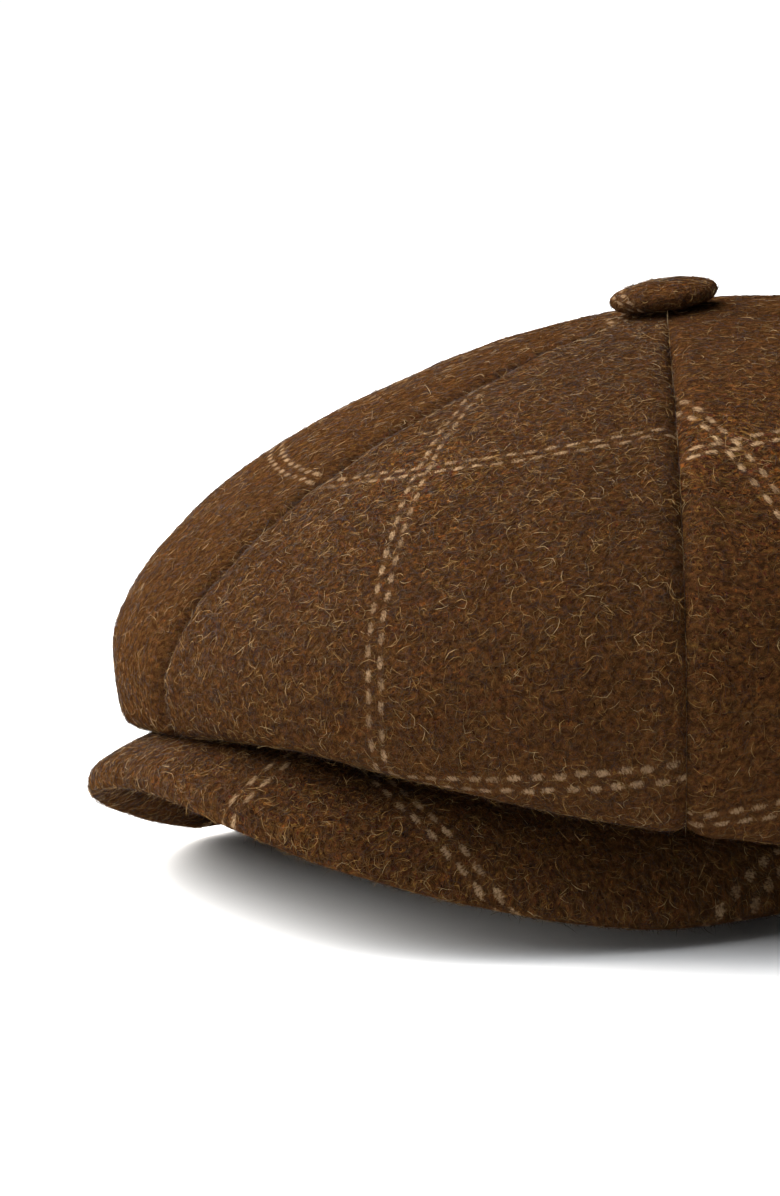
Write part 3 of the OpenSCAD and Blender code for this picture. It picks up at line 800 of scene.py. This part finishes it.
# %% Lay fibres on a piece
def spread_fibres(name, spots, normals, seed, length=(1.4, 4.6), radius=0.042, standing=0.16, lift=0.03):
    """Lays one bent copy of the fibre at each spot, and joins the copies in one piece."""
    draw = np.random.default_rng(seed)
    count = len(spots)
    normals = normals / np.linalg.norm(normals, axis=1, keepdims=True)
    way = np.cross(normals, draw.normal(size=(count, 3)))
    way /= np.linalg.norm(way, axis=1, keepdims=True)
    side = np.cross(normals, way)
    long = draw.uniform(*length, count) * MM
    bend = draw.normal(0, 0.45, count) * long
    up = draw.random(count) < standing
    rise = np.where(up, draw.uniform(0.15, 0.6, count), draw.uniform(0.0, 0.07, count)) * long
    thick = radius * MM * draw.uniform(0.6, 1.3, count)
    s = fibre_along[None, :, None]
    lie = (s - 0.5) * long[:, None, None]
    arch = np.where(up[:, None, None], s**1.5 * rise[:, None, None], np.sin(np.pi * s) * rise[:, None, None])
    curve = way[:, None] * lie + side[:, None] * (4 * (s - 0.5) ** 2 * bend[:, None, None])
    curve = curve + normals[:, None] * (arch + lift * MM)
    tangent_side = side[:, None] * fibre_round[None, :, :1] + normals[:, None] * fibre_round[None, :, 1:]
    places = spots[:, None] + curve + tangent_side * thick[:, None, None]
    faces = (fibre_faces[None] + FIBRE_CORNERS * np.arange(count)[:, None, None]).reshape(-1, 3)
    mesh = bpy.data.meshes.new(name)
    mesh.from_pydata(places.reshape(-1, 3).tolist(), [], faces.tolist())
    tone = mesh.attributes.new("tone", "FLOAT", "POINT")
    tone.data.foreach_set("value", np.repeat(draw.random(count), FIBRE_CORNERS))
    mesh.shade_smooth()
    piece = bpy.data.objects.new(name, mesh)
    bpy.context.scene.collection.objects.link(piece)
    return piece


def pick_on_skin(name, count, seed):
    """Draws spots evenly over the outer face of a sheet, as points and normals."""
    skin, normal = skins[name]
    draw = np.random.default_rng(seed)
    size = np.linalg.norm(normal, axis=-1)
    total = np.cumsum(size.ravel())
    cell = np.searchsorted(total, draw.random(count) * total[-1])
    i, j = np.unravel_index(np.clip(cell, 0, size.size - 1), size.shape)
    i2 = np.clip(i + draw.choice([-1, 1], count), 0, size.shape[0] - 1)
    j2 = np.clip(j + draw.choice([-1, 1], count), 0, size.shape[1] - 1)
    s, t = draw.random(count)[:, None] / 2, draw.random(count)[:, None] / 2
    corner, next_row, next_column, far = skin[i, j], skin[i2, j], skin[i, j2], skin[i2, j2]
    spots = (corner * (1 - s) + next_row * s) * (1 - t) + (next_column * (1 - s) + far * s) * t
    return spots, normal[i, j]


FIBRES = {
    "crown_wool_front_left": (10400, 10400), "crown_wool_side_left": (10400,),
    "crown_wool_rear_left": (6000,), "crown_wool_rear_right": (5000,), "crown_wool_side_right": (5000,),
    "crown_wool_front_right": (8000,), "visor_top_wool": (9000, 9000), "visor_under_wool": (3000,),
    "headband_wool": (2000,),
}
fuzz = {}
for number, (name, counts) in enumerate(FIBRES.items()):
    fuzz[name] = []
    for layer, count in enumerate(counts):
        seed = 100 + 10 * number + layer
        spots, normals = pick_on_skin(name, count, seed)
        layer_name = f"{name.replace('_wool', '_fuzz')}_{layer + 1}"
        fuzz[name].append(spread_fibres(layer_name, spots, normals, seed + 500))

BUTTON_FIBRES, BUTTON_SCATTER = 1100, 0.0002
BUTTON_HEART, BUTTON_LOWEST = 0.003, 0.0012
corners = np.array([vertex.co[:] for vertex in button_wool.data.vertices])
outwards = np.array([vertex.normal[:] for vertex in button_wool.data.vertices])
up = np.array(spin_axis)
from_axis = corners - np.array(apex)
height = from_axis @ up
shown = (outwards * (from_axis - BUTTON_HEART * up)).sum(1) > 0
shown &= height > BUTTON_LOWEST
draw = np.random.default_rng(300)
picked = draw.choice(np.flatnonzero(shown), BUTTON_FIBRES)
spots = corners[picked] + draw.normal(0, BUTTON_SCATTER, (BUTTON_FIBRES, 3))
fuzz["button_wool"] = [spread_fibres("button_fuzz", spots, outwards[picked], 301, length=(1.2, 3.0))]
print(sum(len(layer.data.polygons) for layers in fuzz.values() for layer in layers), "faces of fibres")

# %% [markdown]
# ## Wool cloth
# The wool is a heather: hairs of rust, olive, burgundy, tan and nearly black are carded together before
# spinning, and milling draws them out into short streaks in every direction. An even brown with bumps
# would look like felt board. Here each colour is its own layer of stretched noise, turned its own way,
# over a dark brown. The windowpane check is two rows of cream dashes along each stripe, as a float weave
# leaves them, and it lies on the flat cloth, so each panel shows it as it was cut.


# %% Node helpers
def new_material(name):
    material = bpy.data.materials.new(name)
    material.use_nodes = True
    material.node_tree.nodes.clear()
    return material, material.node_tree


def node(tree, kind, inputs=None, output=0, **settings):
    """Adds a node, sets or links its inputs, and gives one of its outputs."""
    made = tree.nodes.new("ShaderNode" + kind)
    for key, value in settings.items():
        setattr(made, key, value)
    for key, value in (inputs or {}).items():
        if isinstance(value, bpy.types.NodeSocket):
            tree.links.new(value, made.inputs[key])
        else:
            made.inputs[key].default_value = value
    return made.outputs[output]


def sums(tree, operation, *values, clamp=False):
    return node(tree, "Math", dict(enumerate(values)), operation=operation, use_clamp=clamp)


def ramp(tree, value, *stops):
    """A colour ramp from (position, grey or colour) stops."""
    made = tree.nodes.new("ShaderNodeValToRGB")
    tree.links.new(value, made.inputs[0])
    points = made.color_ramp.elements
    while len(points) < len(stops):
        points.new(0.5)
    for point, (place, colour) in zip(points, stops):
        point.position = place
        point.color = (*colour, 1) if isinstance(colour, tuple) else (colour, colour, colour, 1)
    return made.outputs[0]


def mix(tree, share, a, b, blend_type="MIX"):
    inputs = {0: share, 6: a, 7: b}
    inputs = {key: (*value, 1) if isinstance(value, tuple) else value for key, value in inputs.items()}
    return node(tree, "Mix", inputs, output=2, data_type="RGBA", blend_type=blend_type)


def noise(tree, place, scale, detail=2.0, roughness=0.5):
    inputs = {"Vector": place, "Scale": scale, "Detail": detail, "Roughness": roughness}
    return node(tree, "TexNoise", inputs, noise_dimensions="3D")


def stretched(tree, place, turn, size, shift=0.0):
    """Turns a place on the cloth and divides it by the size of a streak, so noise comes out as streaks."""
    turned = node(tree, "VectorRotate", {"Vector": place, "Angle": turn}, rotation_type="Z_AXIS")
    moved = node(tree, "VectorMath", {0: turned, 1: (shift, shift * 1.7, shift)}, operation="ADD")
    return node(tree, "VectorMath", {0: moved, 1: (*size, 1.0)}, operation="DIVIDE")


def finish(tree, material, colour, normal, roughness, metallic=0.0, sheen=0.0, tint=(1, 1, 1), gloss=0.5):
    inputs = {"Base Color": colour, "Normal": normal, "Roughness": roughness, "Metallic": metallic,
              "Sheen Weight": sheen, "Sheen Tint": (*tint, 1), "Sheen Roughness": 0.5,
              "Specular IOR Level": gloss}
    shader = node(tree, "BsdfPrincipled", inputs)
    surface = tree.nodes.new("ShaderNodeOutputMaterial")
    tree.links.new(shader, surface.inputs[0])
    return material


print("node helpers are ready")

# %% The windowpane check
REPEAT_ALONG, REPEAT_ACROSS = 86.2, 88.0
ROW_APART = 3.0
DASH_LONG, DASH_WIDE = 3.0, 1.45


def dashes(tree, along, off, pitch, repeat, seed):
    """Two rows of dashes that run along one axis, repeated across the other: how far inside a dash a
    place is, how bright the dash is, and how near its row is."""
    line = sums(tree, "DIVIDE", sums(tree, "ADD", off, repeat / 2), repeat)
    which = sums(tree, "FLOOR", line)
    off = sums(tree, "MULTIPLY", sums(tree, "SUBTRACT", sums(tree, "SUBTRACT", line, which), 0.5), repeat)
    upper = sums(tree, "GREATER_THAN", off, 0.0)
    beat = sums(tree, "ADD", sums(tree, "DIVIDE", along, pitch), sums(tree, "MULTIPLY", upper, 0.5))
    cell = sums(tree, "FLOOR", beat)
    key = node(tree, "CombineXYZ", {0: cell, 1: upper, 2: sums(tree, "ADD", which, seed)})
    chance = node(tree, "TexWhiteNoise", {"Vector": key}, output=1, noise_dimensions="3D")
    one, two, three = (node(tree, "SeparateColor", {0: chance}, output=n) for n in range(3))
    past = sums(tree, "MULTIPLY", sums(tree, "SUBTRACT", sums(tree, "SUBTRACT", beat, cell), 0.5), pitch)
    past = sums(tree, "ADD", past, sums(tree, "MULTIPLY", sums(tree, "SUBTRACT", one, 0.5), 0.9))
    aside = sums(tree, "SUBTRACT", sums(tree, "ABSOLUTE", off), ROW_APART / 2)
    aside = sums(tree, "ADD", aside, sums(tree, "MULTIPLY", sums(tree, "SUBTRACT", two, 0.5), 0.45))
    long = sums(tree, "POWER", sums(tree, "ABSOLUTE", sums(tree, "DIVIDE", past, DASH_LONG / 2)), 2.6)
    wide = sums(tree, "POWER", sums(tree, "ABSOLUTE", sums(tree, "DIVIDE", aside, DASH_WIDE / 2)), 2.2)
    inside = sums(tree, "SUBTRACT", 1.0, sums(tree, "ADD", long, wide))
    near = sums(tree, "SUBTRACT", 1.0, sums(tree, "DIVIDE", sums(tree, "ABSOLUTE", aside), 1.3), clamp=True)
    return inside, sums(tree, "ADD", 0.55, sums(tree, "MULTIPLY", three, 0.6)), near


print("windowpane repeats every", REPEAT_ALONG, "mm along the cloth and", REPEAT_ACROSS, "mm across it")


# %% Wool material
STREAKS = [
    ("rust", (0.235, 0.068, 0.013), 0.5, (0.85, 5.0), 0.50, 0.57),
    ("olive", (0.135, 0.082, 0.018), 1.7, (0.75, 4.6), 0.53, 0.59),
    ("burgundy", (0.075, 0.012, 0.010), 2.6, (1.00, 4.0), 0.53, 0.60),
    ("dark", (0.0045, 0.0028, 0.0025), 0.1, (1.10, 4.2), 0.53, 0.60),
    ("gold", (0.33, 0.165, 0.035), 2.1, (0.60, 5.0), 0.58, 0.64),
    ("tan", (0.38, 0.22, 0.09), 1.2, (0.50, 5.4), 0.63, 0.69),
]
HAZE_COLOUR, DASH_COLOUR = (0.34, 0.17, 0.075), (1.15, 0.76, 0.42)
# The underside brightness paints the visor's under cover much darker than the same wool elsewhere: painted
# shade for the hollow under the visor.
WOOL_BRIGHTNESS, UNDERSIDE_PAINTED_SHADE_BRIGHTNESS = 0.31, 0.05
# The underside fibre brightness paints the fibres under the visor much darker than the same fibres elsewhere:
# painted shade.
FUZZ_BRIGHTNESS, UNDERSIDE_FUZZ_PAINTED_SHADE_BRIGHTNESS = 0.62, 0.1


def span(tree, value, low, high, to_low, to_high):
    """Value from low to high becomes to_low to to_high, and stops there."""
    return node(tree, "MapRange", {0: value, 1: low, 2: high, 3: to_low, 4: to_high})


def wool_material(name, brightness):
    material, tree = new_material(name)
    uv = node(tree, "UVMap", uv_map="UVMap")
    place = node(tree, "VectorMath", {0: uv, "Scale": 1000.0}, operation="SCALE")
    colour = mix(tree, span(tree, noise(tree, place, 0.9, 4.0, 0.65), 0.41, 0.59, 0.0, 1.0),
                 (0.010, 0.0045, 0.0025), (0.130, 0.052, 0.018))
    height = noise(tree, place, 1.6, 4.0, 0.7)
    for number, (tone, value, turn, size, low, high) in enumerate(STREAKS):
        crooked = sums(tree, "ADD", turn, sums(tree, "MULTIPLY", noise(tree, place, 0.35, 1.0), 2.4))
        fibre = noise(tree, stretched(tree, place, crooked, size, 11.0 * number), 1.0, 2.0, 0.55)
        mask = span(tree, fibre, low, high, 0.0, 0.92)
        colour = mix(tree, mask, colour, value)
        height = sums(tree, "ADD", height, sums(tree, "MULTIPLY", mask, 0.35))
    clumps = span(tree, noise(tree, place, 0.7, 4.0, 0.65), 0.40, 0.60, 0.25, 1.8)
    slow = span(tree, noise(tree, place, 0.09, 2.0), 0.3, 0.7, 0.85, 1.15)
    gain = sums(tree, "MULTIPLY", sums(tree, "MULTIPLY", clumps, slow), brightness)
    colour = mix(tree, 1.0, colour, gain, "MULTIPLY")
    x, y = (node(tree, "SeparateXYZ", {0: place}, output=n) for n in range(2))
    ragged = noise(tree, stretched(tree, place, 0.4, (0.35, 1.0)), 1.0, 3.0, 0.7)
    ragged = sums(tree, "MULTIPLY", sums(tree, "SUBTRACT", ragged, 0.5), 6.5)
    for along, off, pitch, repeat, seed in ((x, y, 4.75, REPEAT_ALONG, 1.0), (y, x, 5.3, REPEAT_ACROSS, 7.0)):
        inside, bright, near = dashes(tree, along, off, pitch, repeat, seed)
        mask = span(tree, sums(tree, "ADD", inside, ragged), -0.25, 1.05, 0.0, 1.0)
        mask = sums(tree, "MULTIPLY", mask, bright, clamp=True)
        haze = sums(tree, "MULTIPLY", near, sums(tree, "ADD", 0.20, sums(tree, "MULTIPLY", ragged, 0.2)),
                    clamp=True)
        colour = mix(tree, haze, colour, tuple(part * brightness for part in HAZE_COLOUR))
        mask_share = sums(tree, "MULTIPLY", mask, 0.92)
        colour = mix(tree, mask_share, colour, tuple(part * brightness for part in DASH_COLOUR))
        height = sums(tree, "ADD", height, sums(tree, "MULTIPLY", mask, 0.5))
    normal = node(tree, "Bump", {"Height": height, "Distance": 0.0005, "Strength": 0.9})
    return finish(tree, material, colour, normal, 0.95, sheen=0.28 * brightness, tint=(1.0, 0.45, 0.18),
                  gloss=0.0)


def fuzz_material(name, brightness):
    material, tree = new_material(name)
    tone = node(tree, "Attribute", attribute_name="tone", output=2)
    colour = ramp(tree, tone, (0.0, (0.004, 0.002, 0.002)), (0.25, (0.022, 0.007, 0.004)),
                  (0.50, (0.085, 0.027, 0.007)), (0.72, (0.090, 0.052, 0.012)), (0.84, (0.240, 0.120, 0.025)),
                  (0.95, (0.420, 0.230, 0.065)), (1.0, (0.560, 0.380, 0.180)))
    place = node(tree, "TexCoord", output=3)
    uneven = noise(tree, place, 900.0, 2.0)
    colour = mix(tree, 1.0, colour, span(tree, uneven, 0.3, 0.7, 0.7 * brightness, 1.3 * brightness),
                 "MULTIPLY")
    normal = node(tree, "Bump", {"Height": uneven, "Distance": 0.00002, "Strength": 0.4})
    return finish(tree, material, colour, normal, 0.7, gloss=0.2)


wool = wool_material("wool_check", WOOL_BRIGHTNESS)
wool_fuzz = fuzz_material("wool_fuzz", FUZZ_BRIGHTNESS)
# This second copy is the same wool made much darker: painted shade for the visor's under cover.
wool_under_painted_shade = wool_material("wool_under_painted_shade", UNDERSIDE_PAINTED_SHADE_BRIGHTNESS)
# This copy of the fibre material is the same hair made much darker: painted shade for the visor's under
# cover.
wool_under_fuzz_painted_shade = fuzz_material("wool_under_fuzz_painted_shade", UNDERSIDE_FUZZ_PAINTED_SHADE_BRIGHTNESS)
print("wool has", len(wool.node_tree.nodes), "nodes")

# %% [markdown]
# ## Lining, strips, board and metal
# The lining is a smooth twill with a soft sheen, the sweatband a ribbed ribbon, the canvas a stiff plain
# weave. The board inside the visor is pressed and slightly mottled. The eyelet is satin brass, and the
# button's hidden parts are tinned steel with fine scratches. Weave lines follow each strip's own flat
# cloth; the solid parts have no flat pattern, so theirs comes from object coordinates.


# %% Woven and solid materials
def woven_material(name, dark, light, lines, depth, roughness, sheen=0.0):
    """lines are (turn, pitch in mm, weight) of the ribs that the weave is made of."""
    material, tree = new_material(name)
    uv = node(tree, "UVMap", uv_map="UVMap")
    place = node(tree, "VectorMath", {0: uv, "Scale": 1000.0}, operation="SCALE")
    uneven = noise(tree, place, 0.8, 3.0, 0.6)
    height = sums(tree, "MULTIPLY", uneven, 0.5)
    for turn, pitch, weight in lines:
        turned = node(tree, "VectorRotate", {"Vector": place, "Angle": turn}, rotation_type="Z_AXIS")
        rib = node(tree, "SeparateXYZ", {0: turned})
        rib = sums(tree, "SINE", sums(tree, "MULTIPLY", rib, 2 * math.pi / pitch))
        height = sums(tree, "ADD", height, sums(tree, "MULTIPLY", rib, weight))
    colour = mix(tree, ramp(tree, height, (0.0, 0.0), (0.9, 1.0)), dark, light)
    normal = node(tree, "Bump", {"Height": height, "Distance": depth, "Strength": 0.6})
    return finish(tree, material, colour, normal, roughness, sheen=sheen)


def solid_material(name, dark, light, scale, stretch, roughness, metallic, depth=0.00003):
    material, tree = new_material(name)
    place = node(tree, "TexCoord", output=3)
    place = node(tree, "VectorMath", {0: place, 1: stretch}, operation="MULTIPLY")
    uneven = noise(tree, place, scale, 4.0, 0.6)
    colour = mix(tree, ramp(tree, uneven, (0.35, 0.0), (0.65, 1.0)), dark, light)
    rough = ramp(tree, uneven, (0.3, roughness - 0.06), (0.7, roughness + 0.08))
    normal = node(tree, "Bump", {"Height": uneven, "Distance": depth, "Strength": 0.5})
    return finish(tree, material, colour, normal, rough, metallic=metallic)


twill = woven_material("lining_twill", (0.11, 0.078, 0.05), (0.24, 0.18, 0.12), [(0.7, 0.9, 0.22)],
                       0.00008, 0.5, sheen=0.35)
ribbon = woven_material("sweatband_ribbon", (0.03, 0.022, 0.016), (0.085, 0.064, 0.05), [(0.0, 1.1, 0.3)],
                        0.0002, 0.7, sheen=0.1)
plain = woven_material("canvas_plain", (0.45, 0.4, 0.3), (0.72, 0.66, 0.54),
                       [(0.0, 1.0, 0.2), (math.pi / 2, 1.0, 0.2)], 0.00015, 0.9)
board = solid_material("pressed_board", (0.68, 0.68, 0.65), (0.86, 0.86, 0.84), 260.0, (1, 1, 1), 0.6, 0.0)
brass = solid_material("satin_brass", (0.5, 0.35, 0.14), (0.72, 0.55, 0.27), 900.0, (1, 1, 0.1), 0.35, 1.0)
steel = solid_material("tinned_steel", (0.46, 0.46, 0.45), (0.66, 0.66, 0.67), 700.0, (1, 0.15, 1), 0.38, 1.0)
thread = solid_material("sweatband_thread", (0.16, 0.12, 0.08), (0.26, 0.20, 0.14), 3000.0, (1, 1, 1),
                        0.7, 0.0)
print("woven and solid materials are ready")

# %% [markdown]
# ## Which piece stands for which solid
# Each cloth piece replaces its solid in the frame and moves with the same body. The fibres go with the cloth
# they lie on. Only the button's cover and its fibres go on a body of their own, the button; everything else
# is sewn into one cap.


def dress(piece, material, body, *nodes, slot=None):
    piece.data.materials.clear()
    piece.data.materials.append(material)
    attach(piece, body)
    if nodes:
        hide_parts(*nodes)


for side in PANELS:
    piece = crown_wool[side]
    dress(piece, wool, "cap", f"crown_panel_{side}", slot="wool")
    dress(lining_twill[side], twill, "cap", f"lining_panel_{side}", slot="lining")

strips = ((headband_wool, wool, "headband", "wool", [band_canvas]),
          (band_canvas, plain, "band_canvas", "canvas", [sweatband]),
          (sweatband, ribbon, "sweatband", "sweatband", [band_canvas]))
for piece, material, cad_node, slot_name, rests_on in strips:
    dress(piece, material, "cap", cad_node, slot=slot_name)
dress(stitch_thread, thread, "cap")

# The under cover takes the darker copy of the wool, which is painted shade.
visor_covers = ((visor_top, wool, "visor_top_cover"), (visor_under, wool_under_painted_shade, "visor_under_cover"))
for piece, material, cad_node in visor_covers:
    dress(piece, material, "cap", cad_node, slot="wool")

dress(button_wool, wool, "button", "button_cover", slot="wool")
for name, layers in fuzz.items():
    # Fibres on the visor's under cover take the darker copy, which is painted shade.
    hair = wool_under_fuzz_painted_shade if name == "visor_under_wool" else wool_fuzz
    body = "button" if name == "button_wool" else "cap"
    for layer in layers:
        dress(layer, hair, body, slot="wool")

for name, material in (("visor_board", board), ("crown_eyelet", brass), ("button_shell", steel),
                       ("button_back", steel), ("button_rivet", steel), ("button_washer", steel)):
    solid = frame["nodes"][name]
    solid.data.materials.clear()
    solid.data.materials.append(material)

# %% [markdown]
# ## Floor and light
# The cap stands on a plain white floor in a white room. One very wide, soft light from the upper left of
# the view rounds the crown and leaves its right side in shade, and a weaker one, above and in front of the
# cap, keeps that shade open. Softboxes near the cap would light the floor unevenly. A sun lamp with a spread
# of 70 degrees lights it evenly to the horizon, and its shadows are as soft as a large box's. The walls
# look white but give little light, so the hollow under the visor stays dark; the visor's under cover is also
# painted much darker than the same wool elsewhere, as painted shade.

# %% Floor and light
bpy.ops.mesh.primitive_plane_add(size=8, location=(0, 0, 0))
floor = bpy.context.object
floor.name = "floor"
paper, tree = new_material("floor_paper")
place = node(tree, "TexCoord", output=3)
shade = ramp(tree, noise(tree, place, 3.0, 2.0), (0.3, 0.90), (0.7, 0.92))
grain = node(tree, "Bump", {"Height": noise(tree, place, 400.0), "Distance": 0.0001, "Strength": 0.1})
finish(tree, paper, shade, grain, 0.9)
floor.data.materials.append(paper)

world = bpy.context.scene.world or bpy.data.worlds.new("room")
bpy.context.scene.world = world
world.use_nodes = True
world.node_tree.nodes.clear()
room = node(world.node_tree, "Background", {"Color": (1, 1, 1, 1), "Strength": 0.15})
wall = node(world.node_tree, "Background", {"Color": (1, 1, 1, 1), "Strength": 1.05})
seen = node(world.node_tree, "LightPath")
both = node(world.node_tree, "MixShader", {0: seen, 1: room, 2: wall})
world_out = world.node_tree.nodes.new("ShaderNodeOutputWorld")
world.node_tree.links.new(both, world_out.inputs[0])

LIGHTS = {
    "key": ((-0.68, -0.38, 0.64), 70, 12.0, (1.0, 0.965, 0.92)),
    "fill": ((0.2, -0.7, 1.0), 60, 3.0, (0.94, 0.97, 1.0)),
}
for name, (spot, spread, strength, tint) in LIGHTS.items():
    bpy.ops.object.light_add(type="SUN", location=spot)
    light = bpy.context.object
    light.name = light.data.name = name
    light.data.angle = math.radians(spread)
    light.data.energy = strength
    light.data.color = tint
    light.rotation_euler = Vector(spot).to_track_quat("Z", "Y").to_euler()
bpy.context.scene.view_settings.view_transform = "Standard"
print("lights:", ", ".join(LIGHTS))
